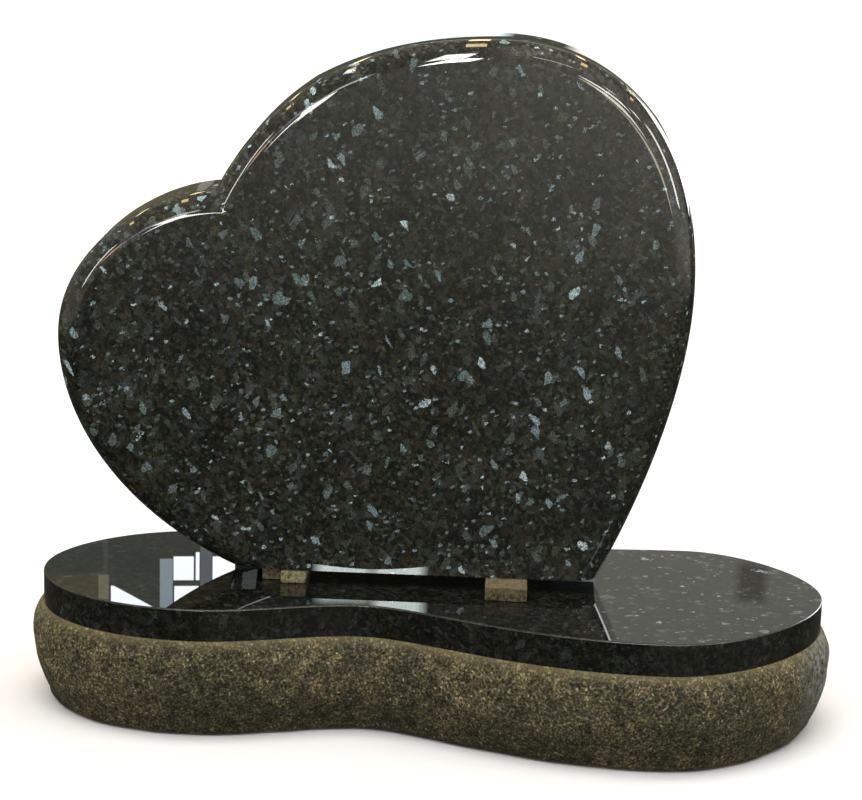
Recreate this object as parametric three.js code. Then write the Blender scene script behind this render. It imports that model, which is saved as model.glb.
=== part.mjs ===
// Headstone: a leaning heart of polished granite, packed up off a kidney-shaped granite base.
// Millimetres, +Z up, the front faces -Y. The origin is at the middle of the base's underside.

import * as THREE from "three";
import { mergeVertices } from "three/addons/utils/BufferGeometryUtils.js";

// Base stone: a polished top and band over a rough-worked body, which bulges out from under the
// band. With a slack above 1 its shoulder falls away more like a chamfer than a quarter round.
const TOP_LENGTH = 898;
const TOP_DEPTH = 344;
const BASE_HEIGHT = 152;
const BAND_HEIGHT = 37;
const BODY_BULGE = 14;
const BODY_BULGE_HEIGHT = 70;
const BODY_FOOT_INSET = 2;
const BODY_FOOT_ROUND = 12;
const SHOULDER_DROP = 24;
const SHOULDER_SLACK = 1.6;
const BODY_UNEVENNESS = 3;
const BASE_ARRIS = 1.2;

// Heart stone
const HEART_WIDTH = 712;
const HEART_HEIGHT = 607;
const HEART_THICKNESS = 100;
const HEART_ROUNDING = 24;
const HEART_BACK_ARRIS = 2.5;
const HEART_LEFT = -429;
const HEART_FRONT = -17;

// Wooden packing blocks between the two stones
const BLOCK_HEIGHT = 16.5;
const BLOCK_BEVEL = 1.2;
const BLOCK_END_MARGIN = 8;
const RIGHT_BLOCK_WIDTH = 48;
const RIGHT_BLOCK_REACH = 35;
const RIGHT_BLOCK_FROM_FOOT_END = 79;
const INNER_BLOCK_WIDTH = 29;
const INNER_BLOCK_REACH = 0;
const INNER_BLOCK_FROM_FOOT_END = 60;
const OUTER_BLOCK_WIDTH = 22;
const OUTER_BLOCK_REACH = -12;

// Air between pieces that touch
const TOUCH_GAP = 0.3;

// Steps along one curved span of an outline, across a rounded edge, and up the rough body
const SPAN_STEPS = 16;
const ROUNDING_STEPS = 6;
const FOOT_STEPS = 3;
const BODY_STEPS = 7;
const SHOULDER_STEPS = 4;

// Broad waves left by the tools in the rough body: how many of each go round it, and how far one
// leans on its way up
const WAVES_ROUND = [9, 14, 23, 31];
const WAVE_LEAN = 0.1;

// Corners nearer together than this are one corner
const WELD = 1e-4;

// A station is a place on an outline, the heading there, and how far the curve holds that heading
// before and after it. Places and holds are shares of the outline's own size.

// The base's polished plan, from the left end round the front: shares of its length and depth
const PLAN = [
  { x: -0.5, y: 0.07, head: [0, -1], before: 0.218, after: 0.25 }, // left end
  { x: -0.29, y: -0.351, head: [1, 0], before: 0.115, after: 0.075 }, // left lobe front
  { x: -0.084, y: -0.241, head: [1, 0], before: 0.062, after: 0.08 }, // waist
  { x: 0.29, y: -0.5, head: [1, 0], before: 0.19, after: 0.1 }, // right lobe front
  { x: 0.5, y: 0.038, head: [0, 1], before: 0.236, after: 0.218 }, // right end
  { x: 0.336, y: 0.485, head: [-1, 0], before: 0.075, after: 0.109 }, // right lobe back
  { x: 0.007, y: 0.425, head: [-1, 0], before: 0.119, after: 0.1 }, // back hollow
  { x: -0.306, y: 0.5, head: [-1, 0], before: 0.1, after: 0.097 }, // left lobe back
];

// The heart's outline, clockwise from the left end of its cut foot: shares of its width and height
const FOOT_LEFT = { x: 0.277, y: 0, head: [-0.168, 0.0908], after: 1 };
const FOOT_RIGHT = { x: 0.868, y: 0, head: [-0.0487, -0.114], before: 1 };
const NOTCH = { x: 0.249, y: 0.7105 };
const LEFT_LOBE = [
  FOOT_LEFT,
  { x: 0, y: 0.4317, head: [0, 1], before: 0.1728, after: 0.157 }, // left side
  { ...NOTCH, head: [0.112, 0.0107], before: 1 },
];
const RIGHT_LOBE = [
  { ...NOTCH, head: [0.098, 0.23], after: 1 },
  { x: 0.683, y: 1, head: [1, 0], before: 0.161, after: 0.1946 }, // top
  { x: 1, y: 0.556, head: [0, -1], before: 0.28, after: 0.206 }, // right side
  FOOT_RIGHT,
];

// Points of an outline through its stations, each with its heading of unit length
function trace(stations, width, height, closed) {
  const scaled = (s) => new THREE.Vector2(s.x * width, s.y * height);
  const hold = (s, share) => new THREE.Vector2(s.head[0] * width, s.head[1] * height).multiplyScalar(share);
  const spans = closed ? stations.length : stations.length - 1;
  const points = [];
  for (let i = 0; i < spans; i++) {
    const a = stations[i];
    const b = stations[(i + 1) % stations.length];
    const start = scaled(a);
    const end = scaled(b);
    const leave = start.clone().add(hold(a, a.after));
    const arrive = end.clone().sub(hold(b, b.before));
    const curve = new THREE.CubicBezierCurve(start, leave, arrive, end);
    const last = !closed && i === spans - 1 ? SPAN_STEPS : SPAN_STEPS - 1;
    for (let k = 0; k <= last; k++) {
      const at = curve.getPointAt(k / SPAN_STEPS);
      points.push({ at, heading: curve.getTangentAt(k / SPAN_STEPS) });
    }
  }
  return points;
}

// Skin between rings of equal length, closed at both ends by flat faces. The rings run
// anticlockwise seen from the last ring's side.
function skin(rings) {
  const count = rings[0].length;
  const position = rings.flat().flatMap((p) => [p.x, p.y, p.z]);
  const index = [];
  for (let r = 0; r + 1 < rings.length; r++) {
    for (let i = 0; i < count; i++) {
      const a = r * count + i;
      const b = r * count + ((i + 1) % count);
      index.push(a, b, b + count, a, b + count, a + count);
    }
  }
  return { position, index, count, rings: rings.length };
}

function addEnds({ position, index, count, rings }, flatFirst, flatLast) {
  const last = (rings - 1) * count;
  for (const [a, b, c] of THREE.ShapeUtils.triangulateShape(flatFirst, [])) {
    index.push(a, c, b);
  }
  for (const [a, b, c] of THREE.ShapeUtils.triangulateShape(flatLast, [])) {
    index.push(last + a, last + b, last + c);
  }
  const geometry = new THREE.BufferGeometry();
  geometry.setAttribute("position", new THREE.Float32BufferAttribute(position, 3));
  geometry.setIndex(index);
  return mergeVertices(geometry, WELD);
}

function finished(geometry, name, material) {
  const flat = geometry.toNonIndexed();
  flat.computeVertexNormals();
  const mesh = new THREE.Mesh(flat, material);
  mesh.name = name;
  return mesh;
}

// The angle at a step of a quarter round
function quarter(step, steps) {
  return ((step / steps) * Math.PI) / 2;
}

// How far the rough body's face lies back, from 0 to -1, at a share of the way round and of the height
function unevenness(round, height) {
  const phase = (round + WAVE_LEAN * height) * Math.PI * 2;
  const swing = WAVES_ROUND.reduce((sum, waves) => sum + Math.sin(waves * (phase + 1)), 0);
  return (swing / WAVES_ROUND.length - 1) / 2;
}

// Heights of the base's rings, how far each stands out from the polished plan, and how rough it is
function baseProfile() {
  const bandFoot = BASE_HEIGHT - BAND_HEIGHT;
  const shoulderFoot = bandFoot - SHOULDER_DROP;
  const profile = [];
  for (let k = 0; k < FOOT_STEPS; k++) {
    const angle = quarter(k, FOOT_STEPS);
    const z = BODY_FOOT_ROUND * (1 - Math.cos(angle));
    const out = -BODY_FOOT_INSET - BODY_FOOT_ROUND * (1 - Math.sin(angle));
    profile.push({ z, out, rough: 1 });
  }
  for (let k = 0; k <= BODY_STEPS; k++) {
    const angle = quarter(k, BODY_STEPS);
    const z = BODY_FOOT_ROUND + (k / BODY_STEPS) * (BODY_BULGE_HEIGHT - BODY_FOOT_ROUND);
    const out = (BODY_BULGE + BODY_FOOT_INSET) * Math.sin(angle) - BODY_FOOT_INSET;
    profile.push({ z, out, rough: 1 });
  }
  for (let k = 0; k <= SHOULDER_STEPS; k++) {
    const angle = quarter(k, SHOULDER_STEPS);
    const z = shoulderFoot + SHOULDER_DROP * Math.sin(angle) ** SHOULDER_SLACK;
    profile.push({ z, out: BODY_BULGE * Math.cos(angle), rough: Math.cos(angle) });
  }
  profile.push({ z: BASE_HEIGHT - BASE_ARRIS, out: 0, rough: 0 });
  profile.push({ z: BASE_HEIGHT, out: -BASE_ARRIS, rough: 0 });
  return profile;
}

function base() {
  const plan = trace(PLAN, TOP_LENGTH, TOP_DEPTH, true);
  const rings = baseProfile().map(({ z, out, rough }) =>
    plan.map(({ at, heading }, i) => {
      const far = out + rough * BODY_UNEVENNESS * unevenness(i / plan.length, z / BASE_HEIGHT);
      return new THREE.Vector3(at.x + heading.y * far, at.y - heading.x * far, z);
    })
  );
  const flat = (ring) => ring.map((p) => new THREE.Vector2(p.x, p.y));
  const geometry = addEnds(skin(rings), flat(rings[0]), flat(rings[rings.length - 1]));
  geometry.computeBoundingBox();
  const middle = geometry.boundingBox.getCenter(new THREE.Vector3());
  geometry.translate(-middle.x, -middle.y, 0);
  return geometry;
}

// The heart's outline with the direction in which each point moves when the edge is rounded:
// square to the outline, along the mitre at the notch, and along the cut foot at its ends
function heartOutline() {
  const left = trace(LEFT_LOBE, HEART_WIDTH, HEART_HEIGHT, false);
  const right = trace(RIGHT_LOBE, HEART_WIDTH, HEART_HEIGHT, false);
  const inward = ({ heading }) => new THREE.Vector2(heading.y, -heading.x);
  const points = [...left, ...right.slice(1)].map((p) => ({ at: p.at, move: inward(p) }));
  const before = inward(left[left.length - 1]);
  const after = inward(right[0]);
  const mitre = before.clone().add(after).normalize();
  points[left.length - 1].move = mitre.divideScalar(mitre.dot(before));
  for (const end of [points[0], points[points.length - 1]]) {
    end.move = new THREE.Vector2(1 / end.move.x, 0);
  }
  return points;
}

function heart() {
  const outline = heartOutline();
  const ring = (inset, y) =>
    outline.map(({ at, move }) => new THREE.Vector3(at.x + move.x * inset, y, at.y + move.y * inset));
  const rings = [];
  for (let k = 0; k <= ROUNDING_STEPS; k++) {
    const angle = quarter(k, ROUNDING_STEPS);
    rings.push(ring(HEART_ROUNDING * (1 - Math.sin(angle)), HEART_ROUNDING * (1 - Math.cos(angle))));
  }
  rings.push(ring(0, HEART_THICKNESS - HEART_BACK_ARRIS));
  rings.push(ring(HEART_BACK_ARRIS, HEART_THICKNESS));
  // The outline runs clockwise seen from the front, so its rings are reversed for the skin
  for (const r of rings) {
    r.reverse();
  }
  rings.reverse();
  const flat = (r) => r.map((p) => new THREE.Vector2(p.x, p.z));
  return addEnds(skin(rings), flat(rings[0]), flat(rings[rings.length - 1]));
}

// A wooden block under the heart, running from front to back, reach ahead of the heart's face
function block(width, reach) {
  const length = HEART_THICKNESS - BLOCK_END_MARGIN + reach;
  const height = BLOCK_HEIGHT - 2 * TOUCH_GAP;
  const section = new THREE.Shape();
  section.moveTo(BLOCK_BEVEL, BLOCK_BEVEL);
  section.lineTo(width - BLOCK_BEVEL, BLOCK_BEVEL);
  section.lineTo(width - BLOCK_BEVEL, height - BLOCK_BEVEL);
  section.lineTo(BLOCK_BEVEL, height - BLOCK_BEVEL);
  section.closePath();
  const geometry = new THREE.ExtrudeGeometry(section, {
    depth: length - 2 * BLOCK_BEVEL,
    bevelEnabled: true,
    bevelSize: BLOCK_BEVEL,
    bevelThickness: BLOCK_BEVEL,
    bevelSegments: 1,
  });
  geometry.deleteAttribute("uv");
  geometry.deleteAttribute("normal");
  // Stand the section upright, with its length running back from the front end
  geometry.rotateX(Math.PI / 2);
  geometry.translate(0, length - BLOCK_BEVEL - reach, 0);
  return mergeVertices(geometry, WELD);
}

const polishedGranite = new THREE.MeshStandardMaterial({ color: 0x2b2d2a, roughness: 0.08, metalness: 0 });
const baseGranite = new THREE.MeshStandardMaterial({ color: 0x4b4638, roughness: 0.55, metalness: 0 });
const packingWood = new THREE.MeshStandardMaterial({ color: 0x9c8a5c, roughness: 0.85, metalness: 0 });

const headstone = new THREE.Group();
headstone.add(finished(base(), "base", baseGranite));

const heartMesh = finished(heart(), "heart_tablet", polishedGranite);
heartMesh.position.set(HEART_LEFT, HEART_FRONT, BASE_HEIGHT + BLOCK_HEIGHT);
headstone.add(heartMesh);

// The blocks stand under the ends of the heart's cut foot, a pair at the left and one at the right
const footLeft = HEART_LEFT + FOOT_LEFT.x * HEART_WIDTH;
const footRight = HEART_LEFT + FOOT_RIGHT.x * HEART_WIDTH;
const innerLeft = footLeft + INNER_BLOCK_FROM_FOOT_END;
const outerLeft = innerLeft - TOUCH_GAP - OUTER_BLOCK_WIDTH;
const rightBlockLeft = footRight - RIGHT_BLOCK_FROM_FOOT_END - RIGHT_BLOCK_WIDTH;
const blocks = [
  { name: "packing_block_left_outer", x: outerLeft, width: OUTER_BLOCK_WIDTH, reach: OUTER_BLOCK_REACH },
  { name: "packing_block_left_inner", x: innerLeft, width: INNER_BLOCK_WIDTH, reach: INNER_BLOCK_REACH },
  { name: "packing_block_right", x: rightBlockLeft, width: RIGHT_BLOCK_WIDTH, reach: RIGHT_BLOCK_REACH },
];
for (const { name, x, width, reach } of blocks) {
  const mesh = finished(block(width, reach), name, packingWood);
  mesh.position.set(x, HEART_FRONT, BASE_HEIGHT + TOUCH_GAP);
  headstone.add(mesh);
}

export default headstone;
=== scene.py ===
"""Looks of the heart headstone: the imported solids, refined, polished, weathered and lit.

Metres, +Z up, the front faces -Y. Every stone and block here is built from the corners or the box
of the CAD node that it replaces, so a change of size in the CAD source carries over.
"""

import math

import bpy
import numpy as np
from mathutils import Matrix, Vector, noise


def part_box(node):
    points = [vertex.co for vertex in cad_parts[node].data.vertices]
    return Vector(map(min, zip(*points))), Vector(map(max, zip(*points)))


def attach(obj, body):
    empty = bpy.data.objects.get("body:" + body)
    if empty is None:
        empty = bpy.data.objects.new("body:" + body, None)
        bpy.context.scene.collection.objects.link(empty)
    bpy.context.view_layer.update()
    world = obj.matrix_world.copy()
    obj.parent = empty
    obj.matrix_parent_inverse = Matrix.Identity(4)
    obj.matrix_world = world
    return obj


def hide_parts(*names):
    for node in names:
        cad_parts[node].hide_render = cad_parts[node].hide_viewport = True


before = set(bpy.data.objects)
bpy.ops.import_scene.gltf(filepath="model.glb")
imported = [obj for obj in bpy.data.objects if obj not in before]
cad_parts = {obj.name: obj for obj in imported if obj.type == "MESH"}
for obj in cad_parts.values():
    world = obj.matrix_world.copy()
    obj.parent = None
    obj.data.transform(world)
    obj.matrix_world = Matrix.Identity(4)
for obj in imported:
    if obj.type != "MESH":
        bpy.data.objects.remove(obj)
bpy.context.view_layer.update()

# The photograph's camera
IMAGE_WIDTH = 862
FOCAL_PIXELS = 2400
SENSOR_WIDTH = 36
CAMERA_PLACE = (0.0724, -2.6193, 1.0279)
CAMERA_TURN = math.radians(-1.72)
CAMERA_DIP = math.radians(14.09)
CAMERA_ROLL = math.radians(1.71)

QUARTER_TURN = math.pi / 2

# Corners of a CAD node further apart than this along its axis lie on different rings
RING_GAP = 2e-4

# Heart stone
HEART_ROUNDING = 0.024
HEART_ROUNDING_STEPS = 16
BACK_ARRIS = 0.0025
BACK_ARRIS_STEPS = 3
HEART_POINTS_PER_SPAN = 6
HEART_CORNER = math.radians(25)

# Base stone
BAND_FOOT = 0.115
LEVEL_TOLERANCE = 1e-4
TOP_ARRIS = 0.0016
TOP_ARRIS_STEPS = 4
BASE_POINTS_PER_SPAN = 5
BASE_SHARP_ANGLE = math.radians(30)
TOP, ARRIS, BAND, ROCK = range(4)

# Tool marks on the base's body: their depth, and for each size of mark how many there are to the
# metre, where its noise starts and its share in the depth
TOOL_DEPTH = 0.0026
TOOL_MARKS = (
    (22, (0, 0, 0), 0.45),
    (70, (3, 1, 7), 0.35),
    (210, (9, 4, 2), 0.20),
)

# Patches on the base: where across its top the painted glint on the flecks starts to grow and where
# it is full, the ledge under the band that is painted paler as light from above, the height below
# which the body gets painted shade, and a dusty place
PAINTED_GLINT_STARTS = 0.14
PAINTED_GLINT_FULL = 0.24
LIT_LEDGE_FOOT = BAND_FOOT - 0.0110
LIT_LEDGE_TOP = BAND_FOOT - 0.0020
PAINTED_SHADE_BELOW = 0.060
DUST_PLACE = (0.450, -0.040, 0.085)
DUST_REACH = 0.075
DUST_CORE = 0.020

# Wooden blocks
WOOD_FACE = 0.0016
WOOD_FACE_LENGTHWISE = 0.004
WORN_REACH = 0.0012
WORN_DEPTH = 0.0004
SAW_DEPTH = 0.0003
WOOD_SHARP_ANGLE = math.radians(50)
# Heights over which the wood's upper half turns a darker, redder brown: partly its tone, partly
# painted shade under the heart's foot
SHADED_BROWN_FROM = 0.1595
SHADED_BROWN_ABOVE = 0.1620

# Crystals in the polish: how many to the metre, their turn, how long they are for their width,
# their share of the stone and where their noise starts
DULL_CRYSTALS = (
    (150, (0.3, 0.6, 0.0), 1.7, 0.18, 1.3),
    (230, (-0.4, -0.8, 0.0), 1.9, 0.24, 4.1),
)
# The second kind carry a painted glint: their pale colour brightened to silver and blue
GLINT_PAINTED_CRYSTALS = (
    (125, (0.2, 0.5, 0.0), 1.6, 0.026, 7.7),
    (170, (-0.3, -0.5, 0.0), 2.2, 0.032, 2.9),
    (350, (0.3, 1.2, 0.0), 1.6, 0.046, 5.3),
)

# What the polish mirrors. Each window is its light, the two azimuths and the two elevations that
# it lies between, in degrees. First those in front, mirrored along the heart's rounded edge and
# in its foot.
WHITE = (22, 22, 21)
FRONT_WINDOWS = (
    ((50, 56, 54), (-4.44, -3.13), (4, 18.9)),
    ((50, 56, 54), (-3.01, -1.79), (4, 19.4)),
    (WHITE, (-14, -11), (-2, 4)),
    ((8, 8, 7.6), (-19, -13.2), (13.5, 20)),
    ((3.2, 2.8, 3.2), (-25, -19), (8.5, 16.5)),
    ((9, 6, 3.4), (-31, -25), (5.5, 10)),
    ((14, 14, 13.5), (-42, -37.5), (3, 19)),
    ((8, 7.4, 6), (4.9, 15), (-7.2, -2.5)),
    ((14, 13.6, 11.5), (9, 19), (2, 11)),
    ((18, 18, 16), (14, 30), (16.5, 21.5)),
    ((12, 12, 12), (10, 27), (43.5, 45.5)),
    ((12, 12, 11.5), (30, 36), (28, 31)),
    ((16, 16, 15), (39, 44), (21, 25)),
    ((16, 16, 15), (52, 61), (2, 24)),
)

# These also have the lean of their left and right edges
LEANING_WINDOWS = (
    (WHITE, (-7, -6), (-5.5, 11), (-0.8, -0.5)),
    (WHITE, (-7.5, -3.4), (21, 45), (-0.12, -0.04)),
)

# Behind: a brown side hall at the left and daylight at the right
SIDE_HALLS = (
    ((0.08, 0.085, 0.065), (-9.7, 7.6), (-12, 7)),
    ((0.18, 0.19, 0.165), (-9.7, -6.3), (7, 30)),
    ((0.18, 0.20, 0.17), (-30, -9.7), (16, 30)),
    ((0.28, 0.255, 0.165), (-30, -9.7), (18.28, 30)),
    ((0.15, 0.13, 0.08), (-40, -9.0), (-12, 16)),
    ((0.42, 0.40, 0.33), (-10.6, -9.2), (4.6, 6.6)),
    ((5.0, 4.9, 4.5), (18, 34), (-5, 12)),
    ((12, 12.5, 13.5), (34, 60), (0, 25)),
)

# Low round glows behind that edge the heart's outline with light: light, middle, radius and the
# azimuths that cut them off
GLOWS = (
    ((1.60, 1.85, 1.90), (-0.557, -1.61), 6.915, (-9.5, 0.6)),
    ((1.50, 1.50, 1.45), (-0.14, -1.51), 6.93, (4.0, 9.0)),
)

# Panes and a wedge of light behind, with sharp edges, mirrored in the base's top: the first two
# through the gap under the heart's foot, and the others to the left of it
PANES = (
    ((0.05, 0.05, 0.04), (-6.46, -5.6), (17.9, 18.8)),
    ((0.30, 0.28, 0.19), (-5.6, 2.4), (17.9, 18.8)),
    ((0.62, 0.60, 0.42), (-9.88, -9.62), (18.32, 18.9)),
    ((0.95, 1.18, 1.30), (-8.36, -8.04), (17.95, 19.3)),
    ((4.6, 4.9, 5.0), (-8.02, -7.52), (17.90, 18.46)),
    ((4.8, 5.0, 5.2), (-7.47, -7.38), (17.80, 18.46)),
    ((4.8, 5.0, 5.2), (-8.00, -7.40), (18.60, 19.3)),
    ((0.45, 0.50, 0.55), (-7.36, -7.06), (17.60, 18.8)),
    ((5.0, 5.1, 5.3), (-7.05, -6.50), (17.90, 18.5)),
)
WEDGE_LIGHT = (4.8, 5.0, 5.4)
WEDGE = {"azimuth": (-9.57, -9.50), "elevation": (18.58, 19.3), "lean": (0.0, 1.9)}
SOFT_PANES = (
    ((0.50, 0.54, 0.64), (1.5, 2.5), (18.1, 18.5)),
    ((0.24, 0.23, 0.21), (6.05, 6.75), (17.6, 18.5)),
)

# How far the edges of the windows fade, in degrees
WINDOW_SOFTNESS = 0.15
SIDE_HALL_SOFTNESS = 0.08
GLOW_SOFTNESS = 0.015
PANE_SOFTNESS = 0.01
SOFT_PANE_SOFTNESS = 0.12

# The floor's half width, and the warm strip lamps: their height, watts for each square metre,
# colour, places across, and each row's place from front to back and lamp size
FLOOR_REACH = 60
CEILING = 3.0
STRIP_POWER = 34
STRIP_COLOUR = (1, 0.72, 0.36)
STRIPS_ACROSS = (-2.85, -1.43, -0.13, 1.32, 2.90)
STRIP_ROWS = ((0.20, (0.15, 0.85)), (3.30, (0.17, 1.80)))


# Meshes


def linked(name, data):
    """A new object in the scene for a mesh, light or camera."""
    thing = bpy.data.objects.new(name, data)
    bpy.context.scene.collection.objects.link(thing)
    return thing


def mesh_piece(name, corners, faces):
    mesh = bpy.data.meshes.new(name)
    mesh.from_pydata(corners, [], faces)
    return linked(name, mesh)


def node_rings(node, axis):
    """A CAD node's corners as rings of equal length across an axis, all started alike."""
    co = np.array([v.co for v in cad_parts[node].data.vertices])
    co = np.unique(np.round(co, 6), axis=0)
    co = co[np.argsort(co[:, axis])]
    cuts = np.flatnonzero(np.diff(co[:, axis]) > RING_GAP) + 1
    across = [i for i in range(3) if i != axis]
    middle = (co.min(0) + co.max(0))[across] / 2
    rings = []
    for ring in np.split(co, cuts):
        away = ring[:, across] - middle
        bearing = np.arctan2(away[:, 1], away[:, 0]) + math.pi / 2
        ring = ring[np.argsort(np.mod(bearing, 2 * math.pi))]
        if rings:
            shifts = [((np.roll(ring, k, 0) - rings[-1]) ** 2).sum() for k in range(len(ring))]
            ring = np.roll(ring, int(np.argmin(shifts)), 0)
        rings.append(ring)
    return np.array(rings)


def corner_places(ring, least_turn):
    """Which points of a closed ring are corners: those where it turns by more than an angle."""
    ahead = np.roll(ring, -1, 0) - ring
    ahead /= np.linalg.norm(ahead, axis=1, keepdims=True)
    turn = np.arccos(np.clip((ahead * np.roll(ahead, 1, 0)).sum(1), -1, 1))
    return set(np.flatnonzero(turn > least_turn))


def smooth_through(points, times, closed, corners=()):
    """Points on smooth curves through rows of points, with kinks only at the corners."""
    count = len(points)
    spans = count if closed else count - 1
    after = (np.arange(spans) + 1) % count
    flat = points.reshape(count, -1)
    chord = np.linalg.norm((flat[after] - flat[:spans]).reshape(spans, -1, 3), axis=2).mean(1)
    chord = np.maximum(chord, 1e-6)[:, None]
    slope = (flat[after] - flat[:spans]) / chord

    # Slopes at both ends of each span: a weighted mean of the two spans that meet at a point, or,
    # at a kink, whatever bends the span evenly
    leave, arrive = slope.copy(), slope.copy()
    kinks = set(corners) | (set() if closed else {0, count - 1})
    for i in range(count):
        if i in kinks:
            continue
        before = (i - 1) % count
        mean = slope[before] * chord[i] + slope[i] * chord[before]
        mean /= chord[i] + chord[before]
        leave[i] = mean
        arrive[before] = mean
    for i in kinks:
        before = (i - 1) % count
        if i < spans and after[i] not in kinks:
            leave[i] = 2 * slope[i] - arrive[i]
        if before < spans and before not in kinks:
            arrive[before] = 2 * slope[before] - leave[before]

    out = []
    for i in range(spans):
        for k in range(times):
            t = k / times
            a = (1 + 2 * t) * (1 - t) ** 2 * flat[i]
            b = t * (1 - t) ** 2 * chord[i] * leave[i]
            c = t * t * (3 - 2 * t) * flat[after[i]]
            d = t * t * (t - 1) * chord[i] * arrive[i]
            out.append(a + b + c + d)
    if not closed:
        out.append(flat[-1])
    return np.array(out).reshape(-1, *points.shape[1:])


def lofted(name, rings, outward=True):
    """A closed mesh through rings, which turn anticlockwise seen from the last ring's side."""
    rings = np.array(rings)
    levels, count = rings.shape[:2]
    index = np.arange(levels * count).reshape(levels, count)
    following = np.roll(index, -1, 1)
    quads = np.stack([index[:-1], following[:-1], following[1:], index[1:]], -1)
    faces = quads.reshape(-1, 4).tolist() + [index[0][::-1].tolist(), index[-1].tolist()]
    if not outward:
        faces = [face[::-1] for face in faces]
    return mesh_piece(name, rings.reshape(-1, 3).tolist(), faces)


def polish_shading(piece, sharp_angle):
    """Smooth shading in which the big flat faces stay truly flat."""
    piece.data.shade_smooth()
    piece.data.set_sharp_from_angle(angle=sharp_angle)
    weighted = piece.modifiers.new("flat faces stay flat", "WEIGHTED_NORMAL")
    weighted.keep_sharp = True
    weighted.weight = 100


def heart_stone():
    """The heart, with its front edge rounded and its foot cut square."""
    rings = node_rings("heart_tablet", axis=1)
    front, back = rings[0, 0, 1], rings[-1, 0, 1]
    depth = np.abs(rings[:, 0, 1] - (front + HEART_ROUNDING))
    outline = rings[int(np.argmin(depth))]
    corners = corner_places(outline, HEART_CORNER)
    outline, face = (
        smooth_through(row, HEART_POINTS_PER_SPAN, True, corners) for row in (outline, rings[0])
    )
    inward = (face - outline) / HEART_ROUNDING
    inward[:, 1] = 0

    def ring(inset, y):
        placed = outline + inward * inset
        placed[:, 1] = y
        return placed

    made = []
    for angle in np.linspace(0, QUARTER_TURN, HEART_ROUNDING_STEPS + 1):
        drop = HEART_ROUNDING * (1 - math.sin(angle))
        made.append(ring(drop, front + HEART_ROUNDING * (1 - math.cos(angle))))
    for angle in np.linspace(0, QUARTER_TURN, BACK_ARRIS_STEPS + 1):
        drop = BACK_ARRIS * (1 - math.cos(angle))
        made.append(ring(drop, back - BACK_ARRIS * (1 - math.sin(angle))))
    piece = lofted("heart", made, outward=False)
    polish_shading(piece, HEART_CORNER)
    return piece


def relief(place):
    """How far tools have sunk the rough stone's face at a place, from about 0 to 1."""
    p = Vector(place)
    return sum(
        share * (noise.noise(p * scale + Vector(start)) * 0.5 + 0.5)
        for scale, start, share in TOOL_MARKS
    )


def base_stone():
    """The base: polished top and band, over a body with the marks of rough tools."""
    rings = node_rings("base", axis=2)
    heights = rings[:, 0, 2]
    rough = rings[heights < BAND_FOOT + LEVEL_TOLERANCE]
    polished = rings[heights > BAND_FOOT + LEVEL_TOLERANCE]
    rough, plan = (
        smooth_through(part.swapaxes(0, 1), BASE_POINTS_PER_SPAN, True).swapaxes(0, 1)
        for part in (rough, polished[:1])
    )
    plan = plan[0]
    rough = smooth_through(rough, BASE_POINTS_PER_SPAN, False)

    along = np.roll(plan, -1, 0) - np.roll(plan, 1, 0)
    outward = np.stack([along[:, 1], -along[:, 0], np.zeros(len(plan))], 1)
    outward /= np.linalg.norm(outward, axis=1, keepdims=True)

    # The marks fade out towards the band, and weaken towards the ground
    last = len(rough) - 1
    for k, level in enumerate(rough):
        calm = min(1, (last - k) / 6, (k + 2) / 4)
        sunk = np.array([relief(p) for p in level])
        level -= outward * (TOOL_DEPTH * calm * sunk)[:, None]
    made = list(rough)
    top = heights[-1]
    for angle in np.linspace(0, QUARTER_TURN, TOP_ARRIS_STEPS + 1):
        placed = plan - outward * TOP_ARRIS * (1 - math.cos(angle))
        placed[:, 2] = top - TOP_ARRIS * (1 - math.sin(angle))
        made.append(placed)
    piece = lofted("base_stone", made)
    polish_shading(piece, BASE_SHARP_ANGLE)
    return piece


def box_shell(low, high, spans):
    """The corners and faces of a box whose sides are cut into a number of spans each way."""
    place = {}
    corners = []
    faces = []

    def corner(i, j, k):
        if (i, j, k) not in place:
            share = (i / spans[0], j / spans[1], k / spans[2])
            place[i, j, k] = len(corners)
            corners.append([low[a] + (high[a] - low[a]) * share[a] for a in range(3)])
        return place[i, j, k]

    for axis in range(3):
        u, v = [a for a in range(3) if a != axis]
        for end in (0, spans[axis]):
            turned = (end == 0) != (axis == 1)
            for a in range(spans[u]):
                for b in range(spans[v]):
                    quad = []
                    for da, db in ((0, 0), (1, 0), (1, 1), (0, 1)):
                        at = [0, 0, 0]
                        at[axis], at[u], at[v] = end, a + da, b + db
                        quad.append(corner(*at))
                    faces.append(quad[::-1] if turned else quad)
    return np.array(corners), faces


def stretched_noise(place, across, along, up):
    return noise.noise(Vector((place.x * across, place.y * along, place.z * up)))


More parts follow.
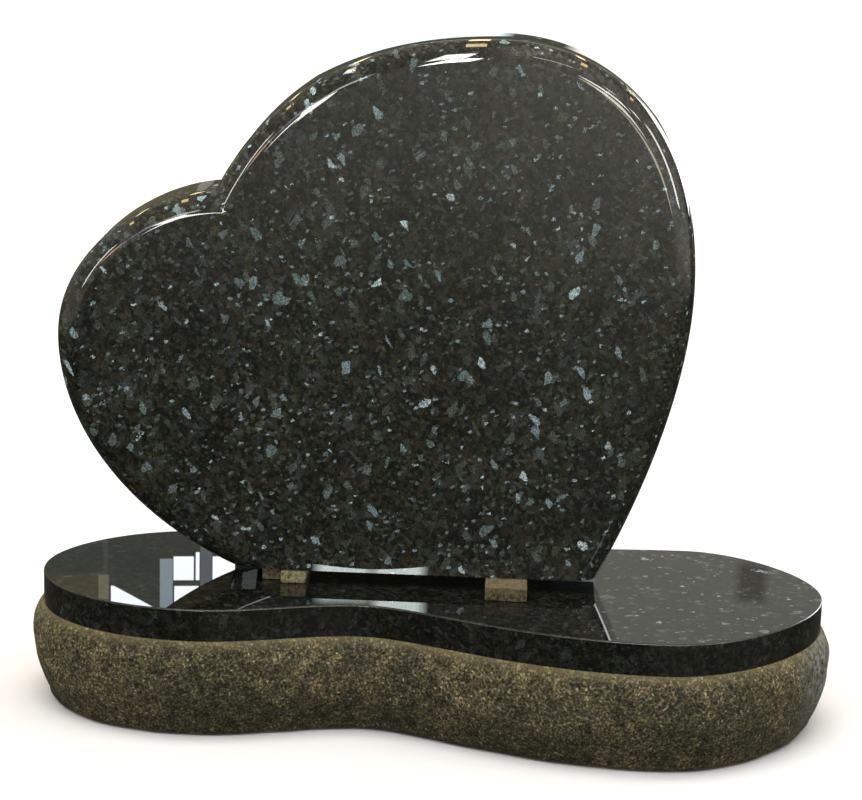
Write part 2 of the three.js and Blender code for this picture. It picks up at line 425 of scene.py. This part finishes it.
def wood_block(node, seed, roughness):
    """A sawn wooden block in a CAD node's place, with a split and crumbled front end."""
    low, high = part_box(node)
    spans = [
        max(2, round((high[i] - low[i]) / length))
        for i, length in enumerate((WOOD_FACE, WOOD_FACE_LENGTHWISE, WOOD_FACE))
    ]
    co, faces = box_shell(low, high, spans)
    middle = (np.array(low) + np.array(high)) / 2
    half = (np.array(high) - np.array(low)) / 2
    away = (co - middle) / half
    for i, (p, side) in enumerate(zip(co, away)):
        # A worn edge: the more faces a corner lies near, the further it is drawn in
        near = np.maximum(np.abs(side) - 1 + WORN_REACH / half, 0) / (WORN_REACH / half)
        worn = np.sign(side) * near * (near.sum() - near.max()) * WORN_DEPTH
        q = Vector(p) + Vector((seed, seed, seed))
        sunk = np.zeros(3)
        on_front = side[1] < -0.999
        if on_front:
            lumps = stretched_noise(q, 230, 50, 420) + 0.5 * noise.noise(q * 700)
            sunk[1] = roughness * (0.6 + 0.5 * lumps)
        else:
            face = int(np.argmax(np.abs(side)))
            saw = stretched_noise(q, 300, 30, 300)
            sunk[face] = -np.sign(side[face]) * SAW_DEPTH * (1 + saw)
        co[i] = p - worn + sunk
    piece = mesh_piece(node + "_wood", co.tolist(), faces)
    piece.data.shade_smooth()
    piece.data.set_sharp_from_angle(angle=WOOD_SHARP_ANGLE)
    return piece


# Materials


class Nodes:
    """A node tree, filled by short calls."""

    def __init__(self, owner):
        self.owner = owner
        owner.use_nodes = True
        self.tree = owner.node_tree
        self.tree.nodes.clear()
        source = "Generated" if isinstance(owner, bpy.types.World) else "Object"
        self.place = self.add("ShaderNodeTexCoord").outputs[source]

    def add(self, kind, inputs=None, **settings):
        node = self.tree.nodes.new(kind)
        for key, value in settings.items():
            setattr(node, key, value)
        for key, value in (inputs or {}).items():
            if isinstance(value, bpy.types.NodeSocket):
                self.tree.links.new(value, node.inputs[key])
            else:
                node.inputs[key].default_value = value
        return node

    def math(self, operation, a, b=0.0):
        return self.add("ShaderNodeMath", {0: a, 1: b}, operation=operation).outputs[0]

    def step(self, value, start, end, low=0.0, high=1.0):
        """A value that runs from start to end, as one that runs from low to high and no further."""
        inputs = {"Value": value, 1: start, 2: end, 3: low, 4: high}
        return self.add("ShaderNodeMapRange", inputs).outputs[0]

    def coordinate(self, axis):
        return self.add("ShaderNodeSeparateXYZ", {"Vector": self.place}).outputs[axis]

    def turned(self, vector, turn, stretch, start=(0.0, 0.0, 0.0)):
        """Coordinates in which a pattern lies one way and is stretched along it."""
        inputs = {"Vector": vector, "Location": start, "Rotation": turn, "Scale": (1, 1, stretch)}
        return self.add("ShaderNodeMapping", inputs, vector_type="TEXTURE").outputs[0]

    def noise(self, scale, detail, roughness, vector=None):
        inputs = {
            "Vector": vector or self.place,
            "Scale": scale,
            "Detail": detail,
            "Roughness": roughness,
        }
        return self.add("ShaderNodeTexNoise", inputs).outputs["Fac"]

    def cells(self, scale, vector):
        """Crystals: a random colour for each cell."""
        inputs = {"Vector": vector, "Scale": scale}
        return self.add("ShaderNodeTexVoronoi", inputs).outputs["Color"]

    def channel(self, colour, name):
        return self.add("ShaderNodeSeparateColor", {"Color": colour}).outputs[name]

    def ramp(self, factor, *stops):
        node = self.add("ShaderNodeValToRGB", {"Fac": factor})
        elements = node.color_ramp.elements
        while len(elements) < len(stops):
            elements.new(1.0)
        for element, (position, value) in zip(elements, stops):
            element.position = position
            element.color = (*value, 1) if isinstance(value, tuple) else (value, value, value, 1)
        return node.outputs["Color"]

    def mix(self, factor, a, b, blend="MIX"):
        inputs = {0: factor, 6: a, 7: b}
        return self.add("ShaderNodeMix", inputs, data_type="RGBA", blend_type=blend).outputs[2]

    def times(self, a, b, share=1.0):
        """One colour multiplied by a share of another."""
        return self.mix(share, a, b, "MULTIPLY")

    def bent(self, scale, amount):
        """Object coordinates pushed about by noise, so that cells get broken edges."""
        kind = "ShaderNodeVectorMath"
        inputs = {"Vector": self.place, "Scale": scale, "Detail": 2}
        push = self.add("ShaderNodeTexNoise", inputs).outputs["Color"]
        push = self.add(kind, {0: push, 1: (0.5, 0.5, 0.5)}, operation="SUBTRACT").outputs[0]
        push = self.add(kind, {0: push, "Scale": amount}, operation="SCALE").outputs[0]
        return self.add(kind, {0: self.place, 1: push}, operation="ADD").outputs[0]

    def bump(self, strength, distance, height):
        inputs = {"Strength": strength, "Distance": distance, "Height": height}
        return self.add("ShaderNodeBump", inputs).outputs[0]

    def surface(self, colour, normal=None, **sockets):
        names = {key.replace("_", " "): value for key, value in sockets.items()}
        inputs = {"Base Color": colour, **names}
        if normal is not None:
            inputs["Normal"] = normal
        shader = self.add("ShaderNodeBsdfPrincipled", inputs)
        self.add("ShaderNodeOutputMaterial", {"Surface": shader.outputs[0]})
        return self.owner


def shards(n, bent, scale, turn, stretch, share, seed):
    """Long angular crystals that lie one way: where they are, and random numbers for each."""
    colour = n.cells(scale, n.turned(bent, turn, stretch, (seed, seed * 2, seed * 3)))
    chosen = n.ramp(n.channel(colour, "Red"), (1 - share, 0.0), (1 - share * 0.9, 1.0))
    return chosen, colour


def fleck_colours(n, lightness, painted_glint):
    """The polished stone's colour: a near-black ground full of broken feldspar crystals, of which
    some carry a painted silver and blue glint, as if they faced the light. Lightness is that of
    the ground, and is lowered on the base's copies as painted shade; the third number is how much
    glint is painted on the crystals."""
    bent = n.bent(480, 0.0036)
    ground = n.ramp(
        n.channel(n.cells(270, bent), "Blue"),
        (0.0, (0.0080, 0.0115, 0.0095)),
        (0.45, (0.0165, 0.0190, 0.0125)),
        (0.80, (0.0300, 0.0290, 0.0170)),
        (1.0, (0.0620, 0.0670, 0.0500)),
    )
    soft = n.ramp(n.noise(260, 4, 0.75), (0.36, 0.30), (0.50, 0.95), (0.64, 2.1))
    ground = n.times(ground, soft)
    cleft = n.turned(n.place, (0.3, 0.5, 0.0), 2.6)
    streaks = n.ramp(n.noise(900, 2, 0.6, cleft), (0.36, 0.30), (0.50, 0.90), (0.64, 2.0))

    # Crystals that lie turned away: dull tan, green and blue-grey
    for kind in DULL_CRYSTALS:
        where, colour = shards(n, bent, *kind)
        tint = n.ramp(
            n.channel(colour, "Green"),
            (0.0, (0.036, 0.032, 0.019)),
            (0.4, (0.050, 0.048, 0.032)),
            (0.7, (0.042, 0.052, 0.046)),
            (1.0, (0.100, 0.108, 0.096)),
        )
        ground = n.mix(n.math("MULTIPLY", where, 0.75), ground, n.times(tint, streaks, 0.7))
    # Broad patches of tone, scaled by lightness, which is lowered on the base's copies as painted
    # shade
    patches = n.ramp(n.noise(19, 3, 0.6), (0.36, 0.70 * lightness), (0.64, 1.25 * lightness))
    ground = n.times(ground, patches)

    # Crystals that carry a painted glint: their own pale colour, brightened to silver and blue as
    # if they faced the light
    for kind in GLINT_PAINTED_CRYSTALS:
        where, colour = shards(n, bent, *kind)
        glint_colour = n.ramp(
            n.channel(colour, "Green"),
            (0.0, (0.080, 0.082, 0.058)),
            (0.40, (0.125, 0.150, 0.130)),
            (0.65, (0.180, 0.240, 0.235)),
            (0.90, (0.360, 0.480, 0.510)),
            (1.0, (0.720, 0.860, 0.880)),
        )
        ground = n.mix(n.math("MULTIPLY", where, painted_glint), ground, n.times(glint_colour, streaks, 0.95))
    return ground


def polished_granite(name, lightness, painted_glint, roughness=0.006, right_painted_glint=None):
    """Polish over flecks with a painted glint, which can be painted stronger at the right-hand end,
    where they face the light.
    """
    n = Nodes(bpy.data.materials.new(name))
    if right_painted_glint is not None:
        painted_glint = n.step(n.coordinate("X"), PAINTED_GLINT_STARTS, PAINTED_GLINT_FULL, painted_glint, right_painted_glint)
    colour = fleck_colours(n, lightness, painted_glint)
    return n.surface(colour, Roughness=roughness, IOR=1.56, Specular_IOR_Level=0.5)


def rough_granite():
    """The base's body: split grain in greys and tans, with broad paler and darker patches."""
    n = Nodes(bpy.data.materials.new("rough granite"))
    grain = n.ramp(
        n.noise(340, 4, 0.8),
        (0.36, (0.020, 0.019, 0.013)),
        (0.47, (0.075, 0.068, 0.040)),
        (0.54, (0.145, 0.130, 0.078)),
        (0.66, (0.380, 0.350, 0.240)),
    )
    specks = n.channel(n.cells(420, n.bent(500, 0.003)), "Red")
    bright = n.ramp(specks, (0.10, 0.45), (0.50, 1.0), (0.92, 1.2), (1.0, 2.6))
    clouds = n.ramp(
        n.noise(70, 5, 0.7),
        (0.34, (0.42, 0.46, 0.46)),
        (0.50, (0.95, 0.95, 0.95)),
        (0.66, (1.60, 1.50, 1.34)),
    )
    broad = n.ramp(n.noise(12, 3, 0.6), (0.34, (0.78, 0.84, 0.80)), (0.66, (1.50, 1.42, 1.32)))
    colour = n.times(n.times(n.times(grain, bright), clouds), broad)

    # Painted light: paler at the upward-facing ledge under the band. Painted shade: darker near the
    # ground
    wander = n.math("MULTIPLY", n.math("SUBTRACT", n.noise(45, 3, 0.6), 0.5), 0.012)
    level = n.math("ADD", n.coordinate("Z"), wander)
    ledge = n.step(level, LIT_LEDGE_FOOT, LIT_LEDGE_TOP)
    colour = n.mix(n.math("MULTIPLY", ledge, 0.45), colour, (0.210, 0.180, 0.092, 1))
    # Painted shade: the colour darkens towards the ground
    low = n.step(level, PAINTED_SHADE_BELOW, 0.0, 1.0, 0.55)
    shade = n.add("ShaderNodeCombineColor", {"Red": low, "Green": low, "Blue": low}).outputs[0]
    colour = n.times(colour, shade)

    # A scuffed, dusty place on the right-hand end
    inputs = {0: n.place, 1: DUST_PLACE}
    away = n.add("ShaderNodeVectorMath", inputs, operation="DISTANCE").outputs["Value"]
    dust = n.ramp(n.noise(120, 4, 0.7), (0.42, 0.0), (0.60, 1.0))
    dusty = n.math("MULTIPLY", n.step(away, DUST_REACH, DUST_CORE), dust)
    colour = n.mix(dusty, colour, (0.300, 0.310, 0.290, 1))

    coarse = n.math("MULTIPLY", n.noise(150, 4, 0.65), 0.65)
    fine = n.math("MULTIPLY", n.noise(480, 3, 0.6), 0.35)
    bump = n.bump(0.85, 0.0022, n.math("ADD", coarse, fine))
    return n.surface(colour, bump, Roughness=0.9, IOR=1.5, Specular_IOR_Level=0.2)


def sawn_wood(name, lightness, shaded_brown):
    """Wood with its grain from front to back. Lightness scales its colour, and raised it is painted
    light. The last number is how far its upper half goes a darker, redder brown: partly the wood's
    redder tone, partly painted shade under the heart's foot.
    """
    n = Nodes(bpy.data.materials.new(name))
    lengthwise = {"Vector": n.place, "Scale": (1.0, 0.12, 1.0)}
    grain = n.noise(520, 4, 0.65, n.add("ShaderNodeMapping", lengthwise).outputs[0])
    colour = n.ramp(
        grain,
        (0.30, (0.070, 0.060, 0.034)),
        (0.50, (0.200, 0.178, 0.096)),
        (0.72, (0.350, 0.315, 0.185)),
    )
    # Dirt in patches, all scaled by lightness; where lightness is raised, that is painted light
    dirt_and_lightness = n.ramp(n.noise(200, 3, 0.6), (0.38, 0.30 * lightness), (0.54, lightness))
    colour = n.times(colour, dirt_and_lightness)
    # Painted shade with a redder tone: the upper half goes a darker brown, as under the heart's
    # foot
    above = n.step(n.coordinate("Z"), SHADED_BROWN_FROM, SHADED_BROWN_ABOVE)
    colour = n.mix(n.math("MULTIPLY", above, shaded_brown), colour, (0.170, 0.120, 0.072, 1))
    bump = n.bump(0.7, 0.001, grain)
    return n.surface(colour, bump, Roughness=0.85, IOR=1.45, Specular_IOR_Level=0.3)


# Floor, light and camera


def floor():
    """A pale floor that the camera alone sees."""
    n = Nodes(bpy.data.materials.new("pale floor"))
    tone = n.ramp(n.noise(3, 2, 0.5), (0.3, 0.94), (0.7, 0.96))
    material = n.surface(tone, Roughness=0.9)
    signs = ((-1, -1), (1, -1), (1, 1), (-1, 1))
    corners = [(x * FLOOR_REACH, y * FLOOR_REACH, 0) for x, y in signs]
    plane = mesh_piece("floor", corners, [(0, 1, 2, 3)])
    plane.data.materials.append(material)
    plane.visible_glossy = False
    plane.visible_diffuse = False
    plane.visible_shadow = False


class Hall(Nodes):
    """What the polish mirrors, painted on directions: a hall with windows in front and behind."""

    def __init__(self):
        world = bpy.data.worlds.new("hall")
        bpy.context.scene.world = world
        super().__init__(world)
        way = self.add("ShaderNodeSeparateXYZ", {"Vector": self.place}).outputs
        across, self.back, up = way["X"], way["Y"], way["Z"]
        self.elevation = self.math("DEGREES", self.math("ARCSINE", up))
        front = self.math("MULTIPLY", self.back, -1.0)
        # Degrees to the right of the way to the viewer, and of the opposite way
        self.from_front = self.math("DEGREES", self.math("ARCTAN2", across, front))
        self.from_back = self.math("DEGREES", self.math("ARCTAN2", across, self.back))

    def between(self, rising, falling, span, soft):
        """1 where one value is past a span's start and the other is short of its end, else 0."""
        start, end = span
        return self.math(
            "MULTIPLY",
            self.step(rising, start - soft, start + soft),
            self.step(falling, end + soft, end - soft),
        )

    def window(
        self, colour, light, azimuth, elevation, behind=False, lean=None, soft=WINDOW_SOFTNESS
    ):
        """Adds a pane of light between two azimuths and two elevations. Its left and right edges
        can lean, by a number of degrees for each degree that they rise."""
        side = self.from_back if behind else self.from_front
        left, right = side, side
        if lean is not None:
            risen = self.math("SUBTRACT", self.elevation, elevation[0])
            left, right = (
                self.math("SUBTRACT", side, self.math("MULTIPLY", risen, tilt)) for tilt in lean
            )
        across = self.between(left, right, azimuth, soft)
        along = self.between(self.elevation, self.elevation, elevation, soft)
        return self.mix(self.math("MULTIPLY", across, along), colour, (*light, 1))

    def disc(self, colour, light, centre, radius, azimuth):
        """Adds a round glow behind, cut off at two azimuths."""
        side = self.math("SUBTRACT", self.from_back, centre[0])
        rise = self.math("SUBTRACT", self.elevation, centre[1])
        squares = [self.math("MULTIPLY", length, length) for length in (side, rise)]
        distance = self.math("SQRT", self.math("ADD", *squares))
        inside = self.step(distance, radius + GLOW_SOFTNESS, radius - GLOW_SOFTNESS)
        across = self.math(
            "MULTIPLY",
            self.step(self.from_back, azimuth[0], azimuth[0] + 1),
            self.step(self.from_back, azimuth[1], azimuth[1] - 1),
        )
        return self.mix(self.math("MULTIPLY", inside, across), colour, (*light, 1))

    def by_elevation(self, *stops):
        """Colours that change with the elevation, given at some elevations in degrees."""
        height = self.step(self.elevation, -90, 90)
        return self.ramp(height, *(((degrees + 90) / 180, colour) for degrees, colour in stops))


def hall_walls(n):
    """The hall without its windows: paler in front than behind."""
    before = n.by_elevation(
        (-90, (0.03, 0.03, 0.025)),
        (-20, (0.09, 0.09, 0.07)),
        (-15, (0.12, 0.12, 0.10)),
        (-12, (0.22, 0.22, 0.19)),
        (-9, (0.62, 0.60, 0.53)),
        (-6, (0.92, 0.90, 0.80)),
        (20, (0.62, 0.58, 0.50)),
        (90, (0.80, 0.76, 0.68)),
    )
    sides = n.ramp(n.step(n.from_front, -14, 10), (0.1, 0.66), (0.5, 0.95), (0.75, 1.55))
    before = n.times(before, sides)
    behind = n.by_elevation(
        (-90, (0.03, 0.03, 0.025)),
        (-12, (0.07, 0.065, 0.05)),
        (0, (0.20, 0.18, 0.14)),
        (14, (0.50, 0.50, 0.44)),
        (24, (0.50, 0.50, 0.44)),
        (50, (0.36, 0.32, 0.25)),
        (90, (0.50, 0.47, 0.41)),
    )
    return n.mix(n.step(n.back, -0.1, 0.3), before, behind)


def hall():
    n = Hall()
    colour = hall_walls(n)
    for light, azimuth, elevation in FRONT_WINDOWS:
        colour = n.window(colour, light, azimuth, elevation)
    for light, azimuth, elevation, lean in LEANING_WINDOWS:
        colour = n.window(colour, light, azimuth, elevation, lean=lean)
    for part in SIDE_HALLS:
        colour = n.window(colour, *part, behind=True, soft=SIDE_HALL_SOFTNESS)
    for glow in GLOWS:
        colour = n.disc(colour, *glow)
    for pane in PANES:
        colour = n.window(colour, *pane, behind=True, soft=PANE_SOFTNESS)
    colour = n.window(colour, WEDGE_LIGHT, behind=True, soft=PANE_SOFTNESS, **WEDGE)
    for pane in SOFT_PANES:
        colour = n.window(colour, *pane, behind=True, soft=SOFT_PANE_SOFTNESS)

    # The hall is for mirror images alone. Dull surfaces get an even, dim light, and what lies
    # beyond the floor is plain and pale.
    rays = n.add("ShaderNodeLightPath").outputs

    def background(colour):
        return n.add("ShaderNodeBackground", {"Color": colour}).outputs[0]

    def chosen(ray, otherwise, shader):
        return n.add("ShaderNodeMixShader", {0: rays[ray], 1: otherwise, 2: shader}).outputs[0]

    lit = chosen("Is Glossy Ray", background((0.26, 0.26, 0.26, 1)), background(colour))
    seen = chosen("Is Camera Ray", lit, background((0.96, 0.96, 0.96, 1)))
    n.add("ShaderNodeOutputWorld", {"Surface": seen})


def aim(light, way):
    light.rotation_euler = Vector(way).to_track_quat("-Z", "Y").to_euler()


def sun(name, way, strength, spread, colour):
    """A wide soft light from one way, which the polish doesn't mirror."""
    light = bpy.data.lights.new(name, "SUN")
    light.energy = strength
    light.angle = math.radians(spread)
    light.color = colour
    piece = linked(name, light)
    aim(piece, -Vector(way))
    piece.visible_glossy = False


def strip_lamp(name, place, size):
    """A warm lamp that shines straight down. It is there to be mirrored, and lights little."""
    light = bpy.data.lights.new(name, "AREA")
    light.shape = "RECTANGLE"
    light.size, light.size_y = size
    light.energy = STRIP_POWER * size[0] * size[1]
    light.color = STRIP_COLOUR
    light.diffuse_factor = 0.1
    piece = linked(name, light)
    piece.location = place
    aim(piece, (0, 0, -1))
    piece.visible_camera = False


def lamps():
    """Soft light from above on both sides, and two rows of strip lamps under the ceiling."""
    sun("soft_left", (-0.35, -0.45, 1.3), 1.7, 50, (1, 0.99, 0.97))
    sun("soft_right", (0.5, -0.1, 1.2), 1.3, 60, (0.97, 0.98, 1))
    for row, (back, size) in enumerate(STRIP_ROWS):
        for k, across in enumerate(STRIPS_ACROSS):
            strip_lamp(f"strip_{row}_{k}", (across, back, CEILING), size)


def camera():
    data = bpy.data.cameras.new("photograph")
    data.sensor_width = SENSOR_WIDTH
    data.lens = FOCAL_PIXELS / IMAGE_WIDTH * SENSOR_WIDTH
    piece = linked("photograph", data)
    forward = Vector(
        (
            math.sin(CAMERA_TURN) * math.cos(CAMERA_DIP),
            math.cos(CAMERA_TURN) * math.cos(CAMERA_DIP),
            -math.sin(CAMERA_DIP),
        )
    )
    level_right = Vector((math.cos(CAMERA_TURN), -math.sin(CAMERA_TURN), 0))
    level_up = level_right.cross(forward)
    right = level_right * math.cos(CAMERA_ROLL) + level_up * math.sin(CAMERA_ROLL)
    up = right.cross(forward)
    turn = Matrix((right, up, -forward)).transposed().to_4x4()
    piece.matrix_world = Matrix.Translation(CAMERA_PLACE) @ turn
    bpy.context.scene.camera = piece


def dressed(piece, slot, materials, *nodes):
    for material in materials:
        piece.data.materials.append(material)
    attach(piece, "root")
    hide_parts(*nodes)


camera()
floor()
hall()
lamps()

# One polished granite in four copies. The heart's face gets a strong painted glint on its crystals.
# The base's top, band and arris are darker copies with little glint: painted shade. The top's glint
# is painted stronger towards its right-hand end, where the flecks face the light.
face_polish_painted_glint = polished_granite("polished granite", 1.0, 0.9)
top_polish_shade_and_glint = polished_granite("polished granite, top, painted shade and glint", 0.30, 0.06, right_painted_glint=0.40)
band_polish_painted_shade = polished_granite("polished granite, band, painted shade", 0.50, 0.05)
arris_polish_painted_shade = polished_granite("polished granite, arris, painted shade", 0.5, 0.05, roughness=0.3)
rock = rough_granite()
wood = sawn_wood("sawn wood", 1.0, 0.55)
# A copy painted 2.3 times lighter, with no darker upper half: painted light for the left blocks in
# the heart's shade
wood_painted_light = sawn_wood("sawn wood, painted light", 2.3, 0.0)

dressed(heart_stone(), "polished_granite", [face_polish_painted_glint], "heart_tablet")

stone = base_stone()
dressed(stone, "base_granite", [top_polish_shade_and_glint, arris_polish_painted_shade, band_polish_painted_shade, rock], "base")
for face in stone.data.polygons:
    lowest = min(stone.data.vertices[v].co.z for v in face.vertices)
    if lowest < BAND_FOOT - LEVEL_TOLERANCE:
        face.material_index = ROCK
    elif face.normal.z < 0.1:
        face.material_index = BAND
    elif face.normal.z < 0.999:
        face.material_index = ARRIS
    else:
        face.material_index = TOP

# Each block's node, how deep its front end is split, and its wood: the left blocks get the copy
# painted lighter, painted light where the heart shades them
for number, (node, roughness, material) in enumerate(
    (
        ("packing_block_left_outer", 0.0008, wood_painted_light),
        ("packing_block_left_inner", 0.0010, wood_painted_light),
        ("packing_block_right", 0.0016, wood),
    )
):
    dressed(wood_block(node, number, roughness), "packing_wood", [material], node)

bpy.context.scene.view_settings.view_transform = "Standard"
